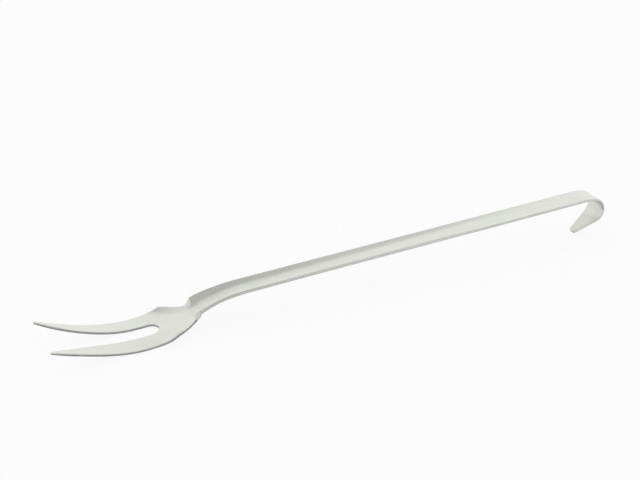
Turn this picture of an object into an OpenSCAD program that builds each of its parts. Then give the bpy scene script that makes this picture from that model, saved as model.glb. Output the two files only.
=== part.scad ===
// Carving fork: a two-tined head pressed from sheet, welded at the neck to a
// gutter-section strip handle whose end is turned down into a hanging hook.
// It lies as it does on a table: tine bellies and hook tip on the plane z = 0,
// tine tips towards -X, hook towards +X. All sizes are in millimetres.

/* [Overall] */
// Length from the tine tips to the outside of the hook
overall_length = 480; // [420:1:540]
// Thickness of the steel sheet
sheet = 2; // [1.5:0.1:2.5]

/* [Tines] */
// Distance between the outer edges of the two tine tips
tip_spread = 47.4; // [43:0.2:52]
// Width over both tines along their length
tine_span = 45.4; // [43:0.2:50]
// Length of the slot between the tines, from the tips to its round end
slot_length = 86; // [76:1:92]
// Width of the slot at its round end
slot_width = 14; // [9:0.2:16]
// Width of each tine at its tip
tip_width = 1.2; // [0.6:0.1:2]
// Thickness of the tine tips, where they are ground thinner
tip_thickness = 1.1; // [0.8:0.1:1.5]
// Height of the tine tips above the lowest part of the tines
tip_rise = 16; // [8:0.1:22]
// Distance from the tips to the lowest part of the tines
belly_x = 66.5; // [58:0.5:74]
// Crown across the head at the bellies: how much lower the outer edges lie than the middle
tine_crown = 0.9; // [0:0.1:1.5]

/* [Neck] */
// Distance from the tips to where the shoulders begin
shoulder_x = 90; // [84:0.5:96]
// Distance from the tips to the middle of the weld
weld_x = 112.5; // [108:0.5:120]
// Width of the weld seam along the fork
weld_width = 2.6; // [1.6:0.2:4]
// How far the weld stands out under the sheet
weld_crown = 0.5; // [0.2:0.1:1]
// Width of the neck at the weld
neck_width = 23.4; // [20:0.2:28]
// Height of the neck's floor above the table at the weld
neck_height = 9.3; // [7:0.1:13]
// Height of the turned-up lips on the shoulders
lip_height = 2.7; // [0.8:0.1:3.5]
// Height of these lips where they meet the weld
lip_end_height = 1; // [0.4:0.1:2]

/* [Handle] */
// Distance from the tips to the end of the upward sweep behind the neck
sweep_end_x = 156.5; // [140:0.5:175]
// Height of the handle's floor at the end of that sweep
sweep_height = 19.5; // [16:0.1:24]
// Upward tilt of the straight handle, in degrees
handle_pitch = 2.57; // [0.5:0.01:4]
// Width of the handle along most of its length
handle_width = 19; // [16:0.2:24]
// Width of the handle at the hook
hook_width = 19.8; // [16:0.2:23]
// Depth of the gutter where the handle begins
gutter_depth = 5.1; // [3:0.1:6]
// Depth of the gutter where the sweep behind the neck has ended
grip_depth = 3.7; // [1:0.1:4.4]
// Half width of the gutter's flat floor
floor_half = 3.6; // [2:0.1:5]
// Distance before the bend at which the gutter has run out to flat
gutter_runout = 10; // [5:1:60]

/* [Hook] */
// Length over which the strip starts to curve down before its tight bend
lead_length = 13; // [6:0.5:20]
// Angle through which it turns over that length, in degrees
lead_turn = 18.4; // [5:0.1:30]
// Inside radius of the hook's bend
hook_radius = 9.7; // [7:0.1:12]
// Angle through which the tight bend turns, in degrees
hook_turn = 135; // [115:1:145]
// Width of the hook's tapered end
hook_tip_width = 7.2; // [5.4:0.2:14]
// Radius of the corners at that end
hook_tip_round = 2.6; // [1:0.1:3.4]
// Height above the end of the bend, square to the bend's radius, where the taper starts
taper_start = 3.2; // [0:0.2:6]

/* [Hidden] */
$fn = 64;

// Across the sheet each half has this many facets
half_cells = 8;
// Facets around the quarter of the slot's round end
slot_round_cells = 6;
// Longest facets along the head and along the swept part of the handle
head_step = 4;
sweep_step = 3;
// Longest facets along the straight handle and along its curved lead-in
handle_step = 14;
bend_step = 1.5;
// Step used to measure the slope of the sheet
probe = 0.05;
// Extra size of a blank beyond the outline that it is cut to
spare = 1;

// The tips slope down to the belly, steeper than a straight line between the two by this
// factor, and their lower corner is the end of the fork
tip_steepness = 1.4;
tip_slope = tip_steepness * tip_rise / belly_x;
tip_start_x = tip_thickness * sin(atan(tip_slope));

// The tight bend, which begins where the curved lead-in ends
pitch_slope = tan(handle_pitch);
bend_pitch = handle_pitch - lead_turn;
bend_outer = hook_radius + sheet;
bend_x = overall_length - bend_outer * (1 + sin(bend_pitch));
lead_x = bend_x - lead_length;
lead_z = sweep_height + pitch_slope * (lead_x - sweep_end_x);
bend_z = lead_z + lead_length * tan((handle_pitch + bend_pitch) / 2);
bend_center = [bend_x + bend_outer * sin(bend_pitch), bend_z - bend_outer * cos(bend_pitch)];
// The tongue runs straight from the bend down to the table
tongue_angle = 90 + bend_pitch - hook_turn;
tongue_start_z = bend_center[1] + bend_outer * sin(tongue_angle);
tongue_length = tongue_start_z / cos(tongue_angle);

// The weld's two faces
head_end_x = weld_x - weld_width / 2;
handle_start_x = weld_x + weld_width / 2;
// The lips grow over these lengths before and behind the shoulders, and the walls of the gutter
// over these before and behind the weld
lip_lead = 8;
lip_follow = 3.5;
ramp_lead = 1.5;
wall_lead = 0.8;
// Both rise to a corner, with these slopes up to it
lip_slope = 0.4;
wall_slope = 1;
lip_start_x = shoulder_x - lip_lead;
lip_full_x = shoulder_x + lip_follow;
wall_full_x = handle_start_x + wall_lead;
settled_x = (weld_x + sweep_end_x) / 2;
gutter_end_x = lead_x - gutter_runout;

// Share of the neck's height that the shoulders have reached, and the slopes at both
shoulder_share = 0.38;
shoulder_slope = 0.12;
neck_slope = 0.47;
// Height of the sheet's upper face on the centre line: distance from the tips, height, slope
floor_line = [
    [0, tip_rise + sheet, -tip_slope],
    [belly_x, sheet, 0],
    [lip_full_x, sheet + shoulder_share * (neck_height - sheet), shoulder_slope],
    [weld_x, neck_height, neck_slope],
    [sweep_end_x, sweep_height, pitch_slope],
    [lead_x, lead_z, pitch_slope],
    [bend_x, bend_z, tan(bend_pitch)]
];

// Height of the edges above the centre line: the lips end just before the weld, and a small
// step lets a line change its slope at once
ramp_start_x = head_end_x - ramp_lead;
fade_slope = -grip_depth / (gutter_end_x - sweep_end_x);
step = 0.01;
depth_line = [
    [0, 0, 0],
    [lip_start_x, 0, 0],
    [lip_full_x, lip_height, lip_slope],
    [lip_full_x + step, lip_height, 0],
    [ramp_start_x, lip_end_height, 0],
    [wall_full_x, gutter_depth, wall_slope],
    [wall_full_x + step, gutter_depth, 0],
    [sweep_end_x, grip_depth, fade_slope],
    [gutter_end_x, 0, fade_slope],
    [gutter_end_x + step, 0, 0],
    [bend_x, 0, 0]
];

// Height of the centre line above the outer edges where the head is crowned
crown_full_x = 0.7 * belly_x;
crown_fade_x = (belly_x + lip_full_x) / 2;
crown_line = [
    [0, 0, 0],
    [crown_full_x, tine_crown, 0],
    [belly_x, tine_crown, 0],
    [crown_fade_x, tine_crown / 2, -tine_crown / (lip_full_x - belly_x)],
    [lip_full_x, 0, 0],
    [bend_x, 0, 0]
];

// Half the width of the sheet. Its slopes say how far the outline turns in at the tips, right
// behind the shoulders, at the weld and in the sweep
tips_in = 0.03;
shoulder_in = 0.05;
neck_in = 0.49;
sweep_in = 0.02;
waist_x = 0.35 * shoulder_x;
waist_depth = 0.2;
sweep_flare = 0.3;
grip_lead = 30;
grip_start_x = sweep_end_x + grip_lead;
width_line = [
    [0, tip_spread / 2, -tips_in],
    [waist_x, tine_span / 2 - waist_depth, 0],
    [shoulder_x, tine_span / 2, 0],
    [shoulder_x + step, tine_span / 2, -shoulder_in],
    [head_end_x, neck_width / 2, -neck_in],
    [wall_full_x, neck_width / 2, 0],
    [settled_x, handle_width / 2 + sweep_flare, -sweep_in],
    [grip_start_x, handle_width / 2, 0],
    [lead_x, hook_width / 2, 0],
    [bend_x, hook_width / 2, 0]
];

// Half the width of the floor between the creases where the edges turn up
throat_x = (shoulder_x + head_end_x) / 2;
throat_share = 0.38;
crease_in = 0.7;
crease_line = [
    [0, tine_span / 2, 0],
    [lip_start_x, tine_span / 2, 0],
    [throat_x, throat_share * tine_span / 2, -crease_in],
    [ramp_start_x, floor_half, 0],
    [bend_x, floor_half, 0]
];

// Height at distance x on the cubic between two stations
function cubic(a, b, x) =
    let (l = b[0] - a[0], t = (x - a[0]) / l)
    (2 * t^3 - 3 * t^2 + 1) * a[1] + (t^3 - 2 * t^2 + t) * l * a[2]
    + (3 * t^2 - 2 * t^3) * b[1] + (t^3 - t^2) * l * b[2];

// Value at distance x along a line of stations
function along(line, x, k = 0) =
    k == len(line) - 2 || x <= line[k + 1][0]
        ? cubic(line[k], line[k + 1], x)
        : along(line, x, k + 1);

// Rise from crease to edge, as a share of the depth: a bend and then a straight wall
bend_share = 0.5;
function wall_rise(t) =
    t <= 0 ? 0
    : t < bend_share ? t^2 / (bend_share * (2 - bend_share))
    : (2 * t - bend_share) / (2 - bend_share);

function half_width(x) = along(width_line, x);

// Height of the upper face at distance x from the tips and y from the centre line
narrowest_wall = 3;
function face_z(x, y) =
    let (w = half_width(x), crease = min(along(crease_line, x), w - narrowest_wall))
    along(floor_line, x) + along(crown_line, x) * (1 - (y / w)^2)
    + along(depth_line, x) * wall_rise((abs(y) - crease) / (w - crease));

// The tines thin towards their tips
thinned_length = 16;
function thickness(x) =
    x >= thinned_length ? sheet
    : tip_thickness + (sheet - tip_thickness) * sin(90 * x / thinned_length);

// Unit vector square to the sheet
function face_normal(x, y) =
    let (
        sx = (face_z(x + probe, y) - face_z(x - probe, y)) / (2 * probe),
        sy = (face_z(x, y + probe) - face_z(x, y - probe)) / (2 * probe),
        l = sqrt(sx^2 + sy^2 + 1)
    ) [-sx / l, -sy / l, 1 / l];

// Point on the sheet, raised from its upper face by the distance given
function sheet_point(x, y, raise = 0) =
    [x - overall_length / 2, y, face_z(x, y)] + raise * face_normal(x, y);

// Half the gap between the tines, which ends in a half circle and flares to the tips
slot_round = slot_width / 2;
slot_flare = 2.4;
slot_round_x = slot_length - slot_round;
function slot_half(x) =
    x >= slot_length ? 0
    : x > slot_round_x ? sqrt(max(0, slot_round^2 - (x - slot_round_x)^2))
    : slot_round + (tip_spread / 2 - tip_width - slot_round) * (1 - x / slot_round_x)^slot_flare;

// Evenly spaced stations from a to b, no further apart than the step, without b itself
function stations(a, b, step) =
    let (n = ceil((b - a) / step)) [for (i = [0:n - 1]) a + (b - a) * i / n];

// Stations of the head: tips, tines, round end of the slot, shoulders
head_x = concat(
    stations(tip_start_x, thinned_length, head_step / 2),
    stations(thinned_length, slot_round_x, head_step),
    [for (i = [0:slot_round_cells - 1]) slot_round_x + slot_round * sin(90 * i / slot_round_cells)],
    stations(slot_length, head_end_x, head_step / 2),
    [head_end_x]
);
slot_rows = len([for (x = head_x) if (x < slot_length) x]);

// Sideways places of one row: near edge to slot, slot to far edge
function row_y(x) =
    let (inner = slot_half(x), outer = half_width(x))
    concat(
        [for (j = [0:half_cells]) -outer + (outer - inner) * j / half_cells],
        [for (j = [0:half_cells]) inner + (outer - inner) * j / half_cells]
    );

// One row of points across the sheet
function row_points(x, raise) = [for (y = row_y(x)) sheet_point(x, y, raise)];

// Closed solid between the sheet's upper and lower faces over the rows at the distances xs.
// The first slotted rows are open in the middle. The lower face lies deeper by the list extra.
module sheet_solid(xs, slotted, extra) {
    cols = 2 * half_cells + 2;
    last = len(xs) - 1;
    upper = [for (x = xs) each row_points(x, 0)];
    lower = [for (i = [0:last]) each row_points(xs[i], -thickness(xs[i]) - extra[i])];
    // Number of a point. Behind the slot the two middle points of a row are one.
    function at(i, c, side) =
        side * len(xs) * cols + i * cols
        + (i >= slotted && c == half_cells + 1 ? half_cells : c);
    function quad(p, q, r, s) = [[p, q, r], [p, r, s]];
    cells = [for (c = [0:cols - 2]) if (c != half_cells) c];
    // One cell of the upper face (side 0) or the lower face (side 1)
    function cell(i, c, side) =
        side == 0
            ? quad(at(i, c, 0), at(i, c + 1, 0), at(i + 1, c + 1, 0), at(i + 1, c, 0))
            : quad(at(i, c, 1), at(i + 1, c, 1), at(i + 1, c + 1, 1), at(i, c + 1, 1));
    // One cell of the first or the last row's end face
    function front(c) = quad(at(0, c, 0), at(0, c, 1), at(0, c + 1, 1), at(0, c + 1, 0));
    function back(c) =
        quad(at(last, c, 0), at(last, c + 1, 0), at(last, c + 1, 1), at(last, c, 1));
    // One cell of an edge that looks towards -Y or towards +Y
    function edge_near(i, c) = quad(at(i, c, 0), at(i + 1, c, 0), at(i + 1, c, 1), at(i, c, 1));
    function edge_far(i, c) = quad(at(i, c, 0), at(i, c, 1), at(i + 1, c, 1), at(i + 1, c, 0));
    polyhedron(
        points = concat(upper, lower),
        faces = concat(
            [for (side = [0, 1]) for (i = [0:last - 1]) for (c = cells) each cell(i, c, side)],
            [for (c = cells) each front(c)],
            [for (c = cells) each back(c)],
            [for (i = [0:last - 1]) each edge_near(i, 0)],
            [for (i = [0:last - 1]) each edge_far(i, cols - 1)],
            [for (i = [0:slotted - 1]) each edge_far(i, half_cells)],
            [for (i = [0:slotted - 1]) each edge_near(i, half_cells + 1)]
        )
    );
}

// Two tines, shoulders and neck, pressed from one blank
module fork_head() {
    color("gainsboro")
        sheet_solid(head_x, slot_rows, [for (x = head_x) 0]);
}

// Seam between neck and handle: flush above, a low crown below
module neck_weld() {
    cells = 4;
    xs = [for (i = [0:cells]) head_end_x + weld_width * i / cells];
    color("silver")
        sheet_solid(xs, 0, [for (i = [0:cells]) weld_crown * sin(180 * i / cells)]);
}

// Outline of the hook laid flat: full width down to where the taper starts, then the tongue
module hook_outline() {
    edge = hook_width / 2;
    tip = hook_tip_width / 2;
    corner_y = hook_tip_round - tongue_length;
    polygon([
        [-edge, bend_outer + spare], [-edge, taper_start], [-tip, corner_y],
        [tip, corner_y], [edge, taper_start], [edge, bend_outer + spare]
    ]);
    for (side = [-1, 1])
        translate([side * (tip - hook_tip_round), corner_y])
            circle(hook_tip_round);
    translate([hook_tip_round - tip, -tongue_length])
        square([2 * (tip - hook_tip_round), hook_tip_round]);
}

// Bend at the end of the handle and the tongue that reaches down to the table.
// Both are made wider and longer than needed and cut to the outline.
module hook() {
    blank_width = hook_width + 2 * spare;
    translate([bend_center[0] - overall_length / 2, 0, bend_center[1]])
        rotate([90, 0, 0])
            rotate([0, 0, tongue_angle])
                intersection() {
                    union() {
                        rotate_extrude(angle = hook_turn)
                            translate([hook_radius, -blank_width / 2])
                                square([sheet, blank_width]);
                        translate([hook_radius, -tongue_length - spare, -blank_width / 2])
                            cube([sheet, tongue_length + spare, blank_width]);
                    }
                    translate([bend_outer + spare, 0, 0])
                        rotate([0, -90, 0])
                            linear_extrude(2 * (bend_outer + spare))
                                hook_outline();
                }
}

// Gutter-section strip with its hook
module handle() {
    xs = concat(
        stations(handle_start_x, wall_full_x, wall_lead / 2),
        stations(wall_full_x, sweep_end_x, sweep_step),
        stations(sweep_end_x, lead_x, handle_step),
        stations(lead_x, bend_x, bend_step),
        [bend_x]
    );
    color("lightgray")
        union() {
            sheet_solid(xs, 0, [for (x = xs) 0]);
            hook();
        }
}

fork_head();
neck_weld();
handle();
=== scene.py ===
# Carving fork in satin stainless steel, lying on a white table: a two-tined head pressed from
# sheet, a weld across the neck, and a gutter-section strip handle that ends in a hook.
# Sizes are in metres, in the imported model's frame: tine tips towards -X, hook towards +X,
# table at z = 0. Distances called x in a line of stations are measured from the tine tips.

from math import asin, atan, ceil, cos, pi, radians, sin, sqrt, tan

import bmesh
import bpy
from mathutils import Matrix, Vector


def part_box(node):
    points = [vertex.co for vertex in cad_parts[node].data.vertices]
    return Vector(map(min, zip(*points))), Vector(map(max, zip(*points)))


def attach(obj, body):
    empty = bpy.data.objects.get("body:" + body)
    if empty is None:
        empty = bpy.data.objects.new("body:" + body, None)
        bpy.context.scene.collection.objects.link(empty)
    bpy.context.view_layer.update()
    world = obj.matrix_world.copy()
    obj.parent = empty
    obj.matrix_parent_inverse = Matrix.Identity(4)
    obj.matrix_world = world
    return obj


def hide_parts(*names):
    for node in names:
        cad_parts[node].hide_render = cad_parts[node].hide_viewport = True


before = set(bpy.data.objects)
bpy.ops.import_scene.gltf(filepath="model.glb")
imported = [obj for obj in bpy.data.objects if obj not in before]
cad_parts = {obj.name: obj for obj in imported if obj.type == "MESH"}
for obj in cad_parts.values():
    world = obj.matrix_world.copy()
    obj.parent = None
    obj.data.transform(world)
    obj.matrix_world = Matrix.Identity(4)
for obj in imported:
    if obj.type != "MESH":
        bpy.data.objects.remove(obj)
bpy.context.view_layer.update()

# The fork's driving sizes
tips_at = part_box("fork_head")[0].x
overall_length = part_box("handle")[1].x - tips_at
sheet = 0.002
tip_spread = 0.0474
tine_span = 0.0454
slot_length = 0.086
slot_width = 0.014
tip_width = 0.0012
tip_thickness = 0.0011
tip_rise = 0.016
belly_x = 0.0665
tine_crown = 0.0009
shoulder_x = 0.090
weld_x = 0.1125
weld_width = 0.0026
weld_crown = 0.0005
neck_width = 0.0234
neck_height = 0.0093
lip_height = 0.0027
lip_end_height = 0.001
sweep_end_x = 0.1565
sweep_height = 0.0195
handle_pitch = radians(2.57)
handle_width = 0.019
hook_width = 0.0198
gutter_depth = 0.0051
grip_depth = 0.0037
floor_half = 0.0036
gutter_runout = 0.010
lead_length = 0.013
lead_turn = radians(18.4)
hook_radius = 0.0097
hook_turn = radians(135)
hook_tip_width = 0.0072
hook_tip_round = 0.0026
taper_start = 0.0032

# Smaller sizes, slopes and shares that draw the pressed form
tip_steepness = 1.4
thinned_length = 0.016
shoulder_share = 0.38
shoulder_slope = 0.12
neck_slope = 0.47
lip_lead = 0.008
lip_follow = 0.0035
ramp_lead = 0.0015
wall_lead = 0.0008
lip_slope = 0.4
wall_slope = 1
tips_in = 0.03
shoulder_in = 0.05
neck_in = 0.49
sweep_in = 0.02
waist_depth = 0.0002
sweep_flare = 0.0003
grip_lead = 0.030
throat_share = 0.38
crease_in = 0.7
narrowest_wall = 0.003
bend_share = 0.5
slot_flare = 2.4
crown_share = 0.7
waist_share = 0.35

# How the sheet's edges are finished
edge_rounding = 0.00035
edge_segments = 3
cut_edge_angle = radians(60)
smooth_angle = radians(50)
# A cut face this near a joint, and this square to the sheet's run, is where the weld takes hold
joint_reach = 0.003
joint_squareness = 0.6
# Places of a piece's finishes after the first, which is for the sheet's own faces; the lower
# rounding's finish is painted shade
cut_slot = 1
rounding_slot = 2
lower_rounding_slot = 3

# The hook's bend, which begins where the curved lead-in ends, and the tongue behind it
pitch_slope = tan(handle_pitch)
bend_pitch = handle_pitch - lead_turn
bend_outer = hook_radius + sheet
bend_x = overall_length - bend_outer * (1 + sin(bend_pitch))
lead_x = bend_x - lead_length
lead_z = sweep_height + pitch_slope * (lead_x - sweep_end_x)
bend_z = lead_z + lead_length * tan((handle_pitch + bend_pitch) / 2)
bend_center_x = bend_x + bend_outer * sin(bend_pitch)
bend_center_z = bend_z - bend_outer * cos(bend_pitch)
tongue_angle = pi / 2 + bend_pitch - hook_turn
tongue_length = (bend_center_z + bend_outer * sin(tongue_angle)) / cos(tongue_angle)

# Where the pieces meet and where the lips and walls grow
head_end_x = weld_x - weld_width / 2
handle_start_x = weld_x + weld_width / 2
lip_start_x = shoulder_x - lip_lead
lip_full_x = shoulder_x + lip_follow
ramp_start_x = head_end_x - ramp_lead
wall_full_x = handle_start_x + wall_lead
settled_x = (weld_x + sweep_end_x) / 2
grip_start_x = sweep_end_x + grip_lead
gutter_end_x = lead_x - gutter_runout
tip_slope = tip_steepness * tip_rise / belly_x
fade_slope = -grip_depth / (gutter_end_x - sweep_end_x)
# A step so small that a line can change its slope at once, and that places compare as equal
hair = 0.00001

# Height of the upper face on the centre line: x, height, slope
floor_line = [
    (0, tip_rise + sheet, -tip_slope),
    (belly_x, sheet, 0),
    (lip_full_x, sheet + shoulder_share * (neck_height - sheet), shoulder_slope),
    (weld_x, neck_height, neck_slope),
    (sweep_end_x, sweep_height, pitch_slope),
    (lead_x, lead_z, pitch_slope),
    (bend_x, bend_z, tan(bend_pitch)),
]
# Height of the edges above the centre line
depth_line = [
    (0, 0, 0),
    (lip_start_x, 0, 0),
    (lip_full_x, lip_height, lip_slope),
    (lip_full_x + hair, lip_height, 0),
    (ramp_start_x, lip_end_height, 0),
    (wall_full_x, gutter_depth, wall_slope),
    (wall_full_x + hair, gutter_depth, 0),
    (sweep_end_x, grip_depth, fade_slope),
    (gutter_end_x, 0, fade_slope),
    (gutter_end_x + hair, 0, 0),
    (bend_x, 0, 0),
]
# Height of the centre line above the outer edges where the head is crowned
crown_line = [
    (0, 0, 0),
    (crown_share * belly_x, tine_crown, 0),
    (belly_x, tine_crown, 0),
    ((belly_x + lip_full_x) / 2, tine_crown / 2, -tine_crown / (lip_full_x - belly_x)),
    (lip_full_x, 0, 0),
    (bend_x, 0, 0),
]
# Half the width of the sheet
width_line = [
    (0, tip_spread / 2, -tips_in),
    (waist_share * shoulder_x, tine_span / 2 - waist_depth, 0),
    (shoulder_x, tine_span / 2, 0),
    (shoulder_x + hair, tine_span / 2, -shoulder_in),
    (head_end_x, neck_width / 2, -neck_in),
    (wall_full_x, neck_width / 2, 0),
    (settled_x, handle_width / 2 + sweep_flare, -sweep_in),
    (grip_start_x, handle_width / 2, 0),
    (lead_x, hook_width / 2, 0),
    (bend_x, hook_width / 2, 0),
]
# Half the width of the floor between the creases where the edges turn up
crease_line = [
    (0, tine_span / 2, 0),
    (lip_start_x, tine_span / 2, 0),
    ((shoulder_x + head_end_x) / 2, throat_share * tine_span / 2, -crease_in),
    (ramp_start_x, floor_half, 0),
    (bend_x, floor_half, 0),
]


def along(line, x):
    """Value at distance x on the cubics between a line's stations."""
    for a, b in zip(line, line[1:]):
        if x <= b[0] or b is line[-1]:
            break
    span = b[0] - a[0]
    t = (x - a[0]) / span
    return (
        (2 * t**3 - 3 * t**2 + 1) * a[1] + (t**3 - 2 * t**2 + t) * span * a[2]
        + (3 * t**2 - 2 * t**3) * b[1] + (t**3 - t**2) * span * b[2]
    )


def half_width(x):
    return along(width_line, x)


def slot_half(x):
    """Half the gap between the tines in front of the slot's round end."""
    radius = slot_width / 2
    flare = tip_spread / 2 - tip_width - radius
    return radius + flare * max(0, 1 - x / (slot_length - radius)) ** slot_flare


def wall_rise(t):
    """Rise from crease to edge as a share of the depth: a bend, then a straight wall."""
    if t <= 0:
        return 0
    if t < bend_share:
        return t**2 / (bend_share * (2 - bend_share))
    return (2 * t - bend_share) / (2 - bend_share)


def die_height(x, y):
    """Height of the sheet's upper face, to which the flat blank is pressed."""
    w = half_width(x)
    crease = min(along(crease_line, x), w - narrowest_wall)
    rise = along(depth_line, x) * wall_rise((abs(y) - crease) / (w - crease))
    return along(floor_line, x) + along(crown_line, x) * (1 - (y / w) ** 2) + rise


def stations(a, b, step):
    """Even places from a towards b, no further apart than step, without b itself."""
    rounding_slack = 0.001
    n = ceil((b - a) / step - rounding_slack)
    return [a + (b - a) * i / n for i in range(n)]


def start_editing(piece):
    bpy.ops.object.select_all(action="DESELECT")
    piece.select_set(True)
    bpy.context.view_layer.objects.active = piece
    bpy.ops.object.mode_set(mode="EDIT")
    bpy.ops.mesh.select_mode(type="VERT")


def stop_editing():
    bpy.ops.object.mode_set(mode="OBJECT")


def pick(piece, wanted):
    """Selects the points whose place passes the test, and the edges between them."""
    mesh = bmesh.from_edit_mesh(piece.data)
    for element in (*mesh.faces, *mesh.edges, *mesh.verts):
        element.select = False
    for point in mesh.verts:
        point.select = wanted(point.co)
    mesh.select_flush(True)
    bmesh.update_edit_mesh(piece.data)


def pick_edges(piece, wanted):
    """Selects only the edges that pass the test."""
    bpy.ops.mesh.select_mode(type="EDGE")
    mesh = bmesh.from_edit_mesh(piece.data)
    for element in (*mesh.faces, *mesh.edges, *mesh.verts):
        element.select = False
    for edge in mesh.edges:
        edge.select = wanted(edge)
    mesh.select_flush_mode()
    bmesh.update_edit_mesh(piece.data)


def pick_numbers(piece, numbers):
    """Selects the points with these numbers."""
    mesh = bmesh.from_edit_mesh(piece.data)
    mesh.verts.ensure_lookup_table()
    for element in (*mesh.faces, *mesh.edges, *mesh.verts):
        element.select = False
    for number in numbers:
        mesh.verts[number].select = True


def near(a, b, reach=2 * hair):
    return abs(a - b) < reach


def extrude(x=0, z=0):
    bpy.ops.mesh.extrude_region_move(TRANSFORM_OT_translate={"value": (x, 0, z)})


def widen(factor, x=0, z=0):
    bpy.ops.transform.resize(value=(1, factor, 1), center_override=(x, 0, z))


def press(piece):
    """Presses the flat blank to the die: points of one height are lifted together."""
    mesh = bmesh.from_edit_mesh(piece.data)
    lifts = {}
    for point in mesh.verts:
        height = die_height(point.co.x - tips_at, point.co.y)
        lifts.setdefault(round(height, 6), []).append(point.index)
    for height, numbers in lifts.items():
        pick_numbers(piece, numbers)
        bpy.ops.transform.translate(value=(0, 0, height))


def blank_strip(name, places, cells):
    """A flat strip that follows the fork's outline through the places, first to last."""
    first, second = places[:2]
    bpy.ops.object.select_all(action="DESELECT")
    bpy.ops.mesh.primitive_grid_add(
        x_subdivisions=1, y_subdivisions=cells, size=1,
        location=(tips_at + (first + second) / 2, 0, 0),
    )
    strip = bpy.context.active_object
    strip.name = name
    bpy.ops.transform.resize(value=(second - first, 2 * half_width(first), 1))
    bpy.ops.object.transform_apply(location=True, rotation=True, scale=True)
    start_editing(strip)
    pick(strip, lambda p: near(p.x, tips_at + second))
    widen(half_width(second) / half_width(first))
    for before, x in zip(places[1:], places[2:]):
        extrude(x - before)
        widen(half_width(x) / half_width(before))
    return strip


def take_finishes(piece, *finishes):
    """Gives the piece its finishes: sheet faces, cut edge, and the roundings above and below, the
    lower one painted dark as shade.
    """
    for material in finishes:
        piece.data.materials.append(material)


def face_up(piece, until_x=overall_length):
    """Turns the sheet's faces upwards, so that its thickness grows downwards."""
    bpy.ops.mesh.select_all(action="SELECT")
    bpy.ops.mesh.normals_make_consistent(inside=False)
    mesh = bmesh.from_edit_mesh(piece.data)
    lying = [face for face in mesh.faces if face.calc_center_median().x < tips_at + until_x]
    if sum(face.normal.z * face.calc_area() for face in lying) < 0:
        bpy.ops.mesh.flip_normals()


def thicken(piece, most=sheet, least=sheet, share_of_most=None):
    """Smooths the pressed sheet and gives it its thickness, with the rim as a finish of its own.

    Where the sheet isn't even, share_of_most says at which distances it is how close to the most.
    """
    stop_editing()
    round_off = piece.modifiers.new("smooth form", "SUBSURF")
    round_off.levels = round_off.render_levels = 2
    round_off.boundary_smooth = "PRESERVE_CORNERS"
    bpy.ops.object.modifier_apply(modifier=round_off.name)
    wall = piece.modifiers.new("sheet thickness", "SOLIDIFY")
    wall.thickness = most
    wall.offset = -1
    wall.use_even_offset = True
    wall.use_quality_normals = True
    wall.material_offset_rim = cut_slot
    if share_of_most:
        uneven = piece.vertex_groups.new(name="thickness")
        for point in piece.data.vertices:
            uneven.add([point.index], share_of_most(point.co.x - tips_at), "REPLACE")
        wall.vertex_group = uneven.name
        wall.thickness_vertex_group = least / most
    bpy.ops.object.modifier_apply(modifier=wall.name)


def round_edges(piece, joints):
    """Rounds the sheet's cut edges, but not where the piece is welded to the next one."""
    start_editing(piece)
    ends = []
    for x in joints:
        slope = atan((along(floor_line, x + hair) - along(floor_line, x - hair)) / (2 * hair))
        ends.append((tips_at + x, Vector((cos(slope), 0, sin(slope)))))

    def closes_joint(face):
        return face.material_index == cut_slot and any(
            abs(face.normal.dot(run)) > joint_squareness
            and near(face.calc_center_median().x, end_x, joint_reach)
            for end_x, run in ends
        )

    def is_cut_edge(edge):
        return (
            len(edge.link_faces) == 2
            and edge.calc_face_angle(0) > cut_edge_angle
            and not any(closes_joint(face) for face in edge.link_faces)
        )

    pick_edges(piece, is_cut_edge)
    bpy.ops.mesh.bevel(
        offset=edge_rounding, segments=edge_segments, material=rounding_slot, clamp_overlap=False
    )
    stop_editing()
    # Roundings that face downwards get a near black colour: painted shade under the sheet's edges
    for face in piece.data.polygons:
        if face.material_index == rounding_slot and face.normal.z < 0:
            face.material_index = lower_rounding_slot
    bpy.ops.object.shade_smooth_by_angle(angle=smooth_angle)


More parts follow.
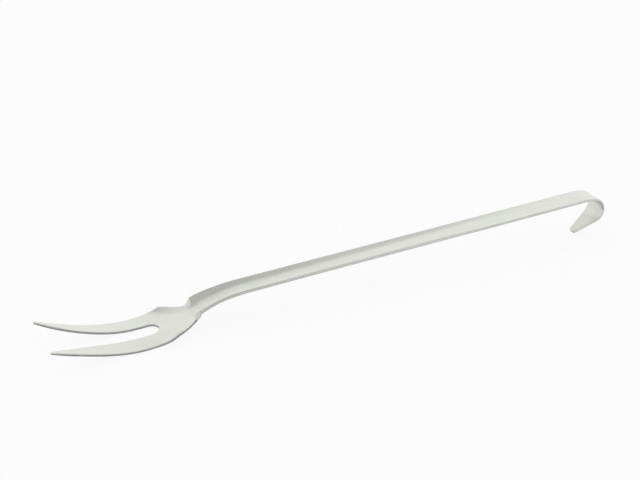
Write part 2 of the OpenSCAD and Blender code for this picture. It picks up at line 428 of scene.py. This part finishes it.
def make_head():
    """Two tines, palm and neck, pressed from one blank."""
    arc_cells = 24
    side_cells = 4
    row_cells = arc_cells - 2 * side_cells
    tine_cells = 6
    corner_step = 0.0008
    round_x = slot_length - slot_width / 2
    palm_x = lip_full_x - corner_step
    tip_x = tip_thickness * sin(atan(tip_slope))
    tine_places = [
        *stations(round_x, thinned_length, -0.004),
        *stations(thinned_length, tip_x, -0.002),
        tip_x,
    ]
    palm_places = [
        palm_x,
        lip_full_x,
        *stations(lip_full_x + corner_step, ramp_start_x, 0.0018),
        *stations(ramp_start_x, head_end_x, 0.0008),
        head_end_x,
    ]

    # The slot's round end is half a circle, and its sides run forward to the tips
    bpy.ops.object.select_all(action="DESELECT")
    bpy.ops.mesh.primitive_circle_add(
        vertices=2 * arc_cells, radius=slot_width / 2, location=(tips_at + round_x, 0, 0)
    )
    head = bpy.context.active_object
    head.name = "head"
    bpy.ops.object.transform_apply(location=True, rotation=True, scale=True)
    start_editing(head)
    pick(head, lambda p: p.x < tips_at + round_x - 10 * hair)
    bpy.ops.mesh.delete(type="VERT")
    pick(head, lambda p: near(p.x, tips_at + round_x))
    for before, x in zip(tine_places, tine_places[1:]):
        bpy.ops.mesh.extrude_vertices_move(TRANSFORM_OT_translate={"value": (x - before, 0, 0)})
        widen(slot_half(x) / slot_half(before), tips_at + x)

    # From that edge the sheet is drawn out sideways to the outer edges and back to the palm
    def outer_place(point):
        x = point.x - tips_at
        if x < round_x + hair:
            return x, half_width(x)
        turn = asin(min(1, abs(point.y) / (slot_width / 2)))
        cell = round((pi / 2 - turn) / (pi / arc_cells))
        if cell <= side_cells:
            x = round_x + (palm_x - round_x) * cell / side_cells
            return x, half_width(x)
        return palm_x, half_width(palm_x) * (1 - (cell - side_cells) / (row_cells / 2))

    mesh = bmesh.from_edit_mesh(head.data)
    slot_edge = [point.co.copy() for point in mesh.verts if point.co.y > -hair]
    bpy.ops.mesh.select_all(action="SELECT")
    extrude()
    mesh = bmesh.from_edit_mesh(head.data)
    drawn = {point.index: point.co.copy() for point in mesh.verts if point.select}
    for start in slot_edge:
        x, y = outer_place(start)
        for side in (1, -1) if start.y > hair else (1,):
            place = Vector((start.x, side * start.y, 0))
            pick_numbers(head, [n for n, co in drawn.items() if (co - place).length < hair])
            bpy.ops.transform.translate(value=(tips_at + x - start.x, side * (y - start.y), 0))

    # Rungs from slot to outer edge are divided evenly
    pick_edges(head, lambda e: (e.verts[0].index in drawn) != (e.verts[1].index in drawn))
    bpy.ops.mesh.subdivide(number_cuts=tine_cells - 1)

    # The palm runs on from its row to the neck
    bpy.ops.mesh.select_mode(type="VERT")
    pick(head, lambda p: near(p.x, tips_at + palm_x))
    for before, x in zip(palm_places, palm_places[1:]):
        extrude(x - before)
        widen(half_width(x) / half_width(before), tips_at + x)

    press(head)
    face_up(head)
    take_finishes(head, satin, cut, rubbed, painted_shade_edge)
    thicken(
        head, sheet, tip_thickness,
        lambda x: sin(pi / 2 * min(1, max(0, x / thinned_length))),
    )
    round_edges(head, [head_end_x])
    return head


def make_weld():
    """Seam across the neck: flush above, a low crown below."""
    cells = 4
    places = [head_end_x + weld_width * i / cells for i in range(cells + 1)]
    weld = blank_strip("weld", places, 16)
    press(weld)
    face_up(weld)
    take_finishes(weld, ground, linished, rubbed, painted_shade_edge)
    thicken(
        weld, sheet + weld_crown, sheet,
        lambda x: max(0, sin(pi * (x - head_end_x) / weld_width)),
    )
    round_edges(weld, [head_end_x, handle_start_x])
    return weld


def make_handle():
    """Gutter-section strip, its lead-in, the bend of the hook and the tongue."""
    bend_steps = 14
    tongue_steps = 6
    corner_turns = (30, 55, 75, 88)
    corner_step = 0.0004
    places = [
        *stations(handle_start_x, wall_full_x, corner_step),
        wall_full_x,
        wall_full_x + corner_step,
        *stations(wall_full_x + 4 * corner_step, settled_x, 0.003),
        *stations(settled_x, sweep_end_x, 0.004),
        *stations(sweep_end_x, grip_start_x, 0.008),
        *stations(grip_start_x, gutter_end_x, 0.014),
        *stations(gutter_end_x, lead_x, 0.005),
        *stations(lead_x, bend_x, 0.0022),
        bend_x,
    ]
    handle = blank_strip("handle_strip", places, 16)
    press(handle)

    # The strip is bent down around the hook's axis, and tapers from the height where it starts
    center = (tips_at + bend_center_x, 0, bend_center_z)
    corner_reach = tongue_length - hook_tip_round

    def hook_half_width(reach):
        """Half width at a distance along the tongue, counted from the end of the bend."""
        if reach < -taper_start:
            return hook_width / 2
        if reach < corner_reach:
            share = (reach + taper_start) / (corner_reach + taper_start)
            return hook_width / 2 + share * (hook_tip_width - hook_width) / 2
        past = min(hook_tip_round, reach - corner_reach)
        return hook_tip_width / 2 - hook_tip_round + sqrt(hook_tip_round**2 - past**2)

    pick(handle, lambda p: near(p.x, tips_at + bend_x))
    width = hook_width / 2
    for step in range(1, bend_steps + 1):
        extrude()
        bpy.ops.transform.rotate(
            value=-hook_turn / bend_steps, orient_axis="Y", center_override=center
        )
        left = hook_turn * (1 - step / bend_steps)
        reach = -bend_outer * sin(min(left, pi / 2))
        widen(hook_half_width(reach) / width)
        width = hook_half_width(reach)
    reaches = [corner_reach * i / tongue_steps for i in range(1, tongue_steps + 1)]
    reaches += [corner_reach + hook_tip_round * sin(radians(turn)) for turn in corner_turns]
    before = 0
    for reach in reaches:
        run = reach - before
        extrude(-run * sin(-tongue_angle), -run * cos(tongue_angle))
        widen(hook_half_width(reach) / width)
        width = hook_half_width(reach)
        before = reach
    face_up(handle, lead_x)
    take_finishes(handle, satin, linished, rubbed, painted_shade_edge)
    thicken(handle)
    round_edges(handle, [handle_start_x])
    return handle


def add(tree, kind, feeds=None, **settings):
    """Adds a node with these settings, its inputs fed by values or by other nodes' outputs."""
    made = tree.nodes.new(kind)
    for name, value in settings.items():
        setattr(made, name, value)
    for name, value in (feeds or {}).items():
        if isinstance(value, bpy.types.NodeSocket):
            tree.links.new(value, made.inputs[name])
        else:
            made.inputs[name].default_value = value
    return made


def marks(tree, size, turn=0, detail=3):
    """Random marks of this size along X, Y and Z, from 0 to 1."""
    place = add(tree, "ShaderNodeTexCoord").outputs["Object"]
    laid = add(tree, "ShaderNodeMapping", {
        "Vector": place, "Rotation": (0, 0, turn), "Scale": [1 / s for s in size],
    }).outputs["Vector"]
    return add(tree, "ShaderNodeTexNoise", {
        "Vector": laid, "Scale": 1, "Detail": detail, "Roughness": 0.6,
    }).outputs["Fac"]


def between(tree, value, low, high, lowest=0, highest=1, way="LINEAR"):
    """The part of a value from lowest to highest, spread from low to high."""
    return add(tree, "ShaderNodeMapRange", {
        "Value": value, "From Min": lowest, "From Max": highest, "To Min": low, "To Max": high,
    }, interpolation_type=way).outputs["Result"]


def calculate(tree, operation, a, b):
    return add(tree, "ShaderNodeMath", {0: a, 1: b}, operation=operation).outputs["Value"]


def blend_colors(tree, share, a, b):
    """Mixes two colours, b by the share."""
    mixer = tree.nodes.new("ShaderNodeMix")
    mixer.data_type = "RGBA"
    factor, first, second = mixer.inputs[0], mixer.inputs[6], mixer.inputs[7]
    for socket, value in ((factor, share), (first, a), (second, b)):
        if isinstance(value, bpy.types.NodeSocket):
            tree.links.new(value, socket)
        elif socket == factor:
            socket.default_value = value
        else:
            socket.default_value = (*value, 1)
    return mixer.outputs[2]


def steel(name, dark, light, drift, smooth, rough, grain, grain_depth, relief=None):
    """Metal whose colour drifts between two tones, and whose grain varies tone and gloss."""
    material = bpy.data.materials.new(name)
    material.use_nodes = True
    tree = material.node_tree
    shader = tree.nodes["Principled BSDF"]
    # Noise seldom leaves the middle of its range, so that middle is spread out
    low, high = 0.3, 0.7
    grain_share = 0.3
    lines = marks(tree, grain)
    tone = calculate(
        tree, "ADD",
        calculate(tree, "MULTIPLY", lines, grain_share),
        calculate(tree, "MULTIPLY", drift(tree), 1 - grain_share),
    )
    color = blend_colors(tree, between(tree, tone, 0, 1, low, high), dark, light)
    handled = between(tree, marks(tree, (0.03, 0.012, 0.012)), -0.05, 0.05, low, high)
    brushed = between(tree, lines, smooth, rough, 0.25, 0.75)
    gloss = calculate(tree, "ADD", brushed, handled)
    tree.links.new(color, shader.inputs["Base Color"])
    tree.links.new(gloss, shader.inputs["Roughness"])
    shader.inputs["Metallic"].default_value = 1
    height = lines
    if relief:
        height = calculate(tree, "ADD", lines, relief(tree))
    bump = add(tree, "ShaderNodeBump", {"Strength": 1, "Distance": grain_depth, "Height": height})
    tree.links.new(bump.outputs["Normal"], shader.inputs["Normal"])
    return material


def satin_finish():
    """Brushed along the fork, with hairline scratches."""
    def drift(tree):
        cloud_share = 0.6
        cloudy = marks(tree, (0.06, 0.02, 0.02))
        banded = marks(tree, (0.12, 0.0016, 0.0016))
        return calculate(
            tree, "ADD",
            calculate(tree, "MULTIPLY", cloudy, cloud_share),
            calculate(tree, "MULTIPLY", banded, 1 - cloud_share),
        )

    def scratches(tree):
        crossing = marks(tree, (0.014, 0.00018, 0.00018), radians(24), 1)
        return between(tree, crossing, 0, -2.5, 0.73, 0.76)

    return steel(
        "satin steel", (0.655, 0.68, 0.655), (0.755, 0.745, 0.68), drift,
        0.25, 0.39, (0.02, 0.00022, 0.00022), 0.000006, scratches,
    )


def cut_finish(name, dark, light):
    """Cut edge of the sheet, with fine marks square to the sheet. Given dark tones, it also paints
    shade: on the head's cut edges and the lower roundings.
    """
    return steel(
        name, dark, light, lambda tree: marks(tree, (0.012, 0.012, 0.012)),
        0.34, 0.52, (0.00035, 0.004, 0.006), 0.00002,
    )


def rubbed_finish():
    """Rounded edge, rubbed brighter and smoother by use, with small nicks."""
    return steel(
        "rubbed edge", (0.56, 0.565, 0.55), (0.80, 0.80, 0.77),
        lambda tree: marks(tree, (0.009, 0.004, 0.004), detail=5),
        0.16, 0.34, (0.0007, 0.0007, 0.0007), 0.00001,
    )


def ground_finish():
    """Weld ground flush: marks across the neck, low ripples and a faint straw tint."""
    def ripples(tree):
        place = add(tree, "ShaderNodeTexCoord").outputs["Object"]
        wave = add(tree, "ShaderNodeTexWave", {
            "Vector": place, "Scale": 200, "Distortion": 6, "Detail": 1, "Detail Scale": 1.5,
        })
        return calculate(tree, "MULTIPLY", wave.outputs["Fac"], 5)

    return steel(
        "ground weld", (0.63, 0.64, 0.595), (0.74, 0.745, 0.69),
        lambda tree: marks(tree, (0.0012, 0.006, 0.006)),
        0.26, 0.40, (0.0002, 0.006, 0.006), 0.00001, ripples,
    )


def make_table():
    """White table: camera and gloss see it near white, and it keeps the fork's shadow."""
    white_share = 0.87
    bpy.ops.object.select_all(action="DESELECT")
    bpy.ops.mesh.primitive_plane_add(size=12, location=(0, 0, 0))
    table = bpy.context.active_object
    table.name = "table"
    material = bpy.data.materials.new("white table")
    material.use_nodes = True
    tree = material.node_tree
    tree.nodes.clear()
    rays = add(tree, "ShaderNodeLightPath")
    seen = calculate(tree, "MAXIMUM", rays.outputs["Is Camera Ray"], rays.outputs["Is Glossy Ray"])
    matt = add(tree, "ShaderNodeBsdfDiffuse", {"Color": (0.92, 0.92, 0.92, 1)})
    white = add(tree, "ShaderNodeEmission", {"Strength": 1})
    mix = add(tree, "ShaderNodeMixShader", {
        "Fac": calculate(tree, "MULTIPLY", seen, white_share),
        1: matt.outputs[0],
        2: white.outputs[0],
    })
    add(tree, "ShaderNodeOutputMaterial", {"Surface": mix.outputs[0]})
    table.data.materials.append(material)


def light_studio():
    """Low white walls, brightest behind the fork, under a dimmer ceiling with a soft box."""
    far_side = Vector((0.42, 0.907, 0))
    far_level = 1.09
    camera_side_level = 0.85
    wall_top = 0.62
    ceiling_edge = 0.87
    ceiling_share = 0.6
    world = bpy.data.worlds.new("studio")
    bpy.context.scene.world = world
    world.use_nodes = True
    tree = world.node_tree
    towards = add(tree, "ShaderNodeTexCoord").outputs["Generated"]
    across = add(
        tree, "ShaderNodeVectorMath", {0: towards, 1: far_side}, operation="DOT_PRODUCT"
    ).outputs["Value"]
    upwards = add(tree, "ShaderNodeSeparateXYZ", {"Vector": towards}).outputs["Z"]
    level = calculate(
        tree, "MULTIPLY",
        between(tree, across, camera_side_level, far_level, -1, 1),
        between(tree, upwards, 1, ceiling_share, wall_top, ceiling_edge, "SMOOTHSTEP"),
    )
    rays = add(tree, "ShaderNodeLightPath")
    strength = calculate(tree, "MAXIMUM", level, rays.outputs["Is Camera Ray"])
    tree.links.new(strength, tree.nodes["Background"].inputs["Strength"])
    tree.nodes["Background"].inputs["Color"].default_value = (1, 1, 1, 1)

    lamp = bpy.data.lights.new("soft box", "AREA")
    lamp.size = 1.6
    lamp.energy = 2
    soft_box = bpy.data.objects.new("soft box", lamp)
    bpy.context.scene.collection.objects.link(soft_box)
    soft_box.location = (0.1, 0.5, 1.8)
    soft_box.rotation_euler = (-soft_box.location).to_track_quat("-Z", "Y").to_euler()


def place_camera():
    """Camera at the photograph's viewing angle."""
    lens_pixels = 1281.8
    frame_width = 640
    lens = bpy.data.cameras.new("camera")
    lens.sensor_width = 36
    lens.lens = lens_pixels * lens.sensor_width / frame_width
    lens.clip_start = 0.01
    camera = bpy.data.objects.new("camera", lens)
    bpy.context.scene.collection.objects.link(camera)
    camera.location = (-0.4033, -0.7788, 0.48857)
    camera.rotation_euler = (pi / 2 - 0.472185, 0, -0.455239)
    bpy.context.scene.camera = camera


satin = satin_finish()
# Partly painted shade: the head's cut edges are coloured darker than steel for the shade on edges
# facing the dimmer side, over their rougher sheared finish
cut = cut_finish("cut edge", (0.24, 0.25, 0.27), (0.38, 0.38, 0.37))
linished = cut_finish("linished edge", (0.56, 0.57, 0.56), (0.69, 0.69, 0.65))
# Painted shade: near black colour for the downward roundings, standing in for the shade under the
# edges
painted_shade_edge = cut_finish("lower edge painted in shade", (0.09, 0.095, 0.10), (0.20, 0.195, 0.185))
rubbed = rubbed_finish()
ground = ground_finish()
for piece, node, slot in (
    (make_head(), "fork_head", "head_steel"),
    (make_weld(), "neck_weld", "weld_steel"),
    (make_handle(), "handle", "handle_steel"),
):
    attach(piece, "root")
    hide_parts(node)

make_table()
light_studio()
place_camera()
bpy.context.scene.view_settings.view_transform = "Standard"
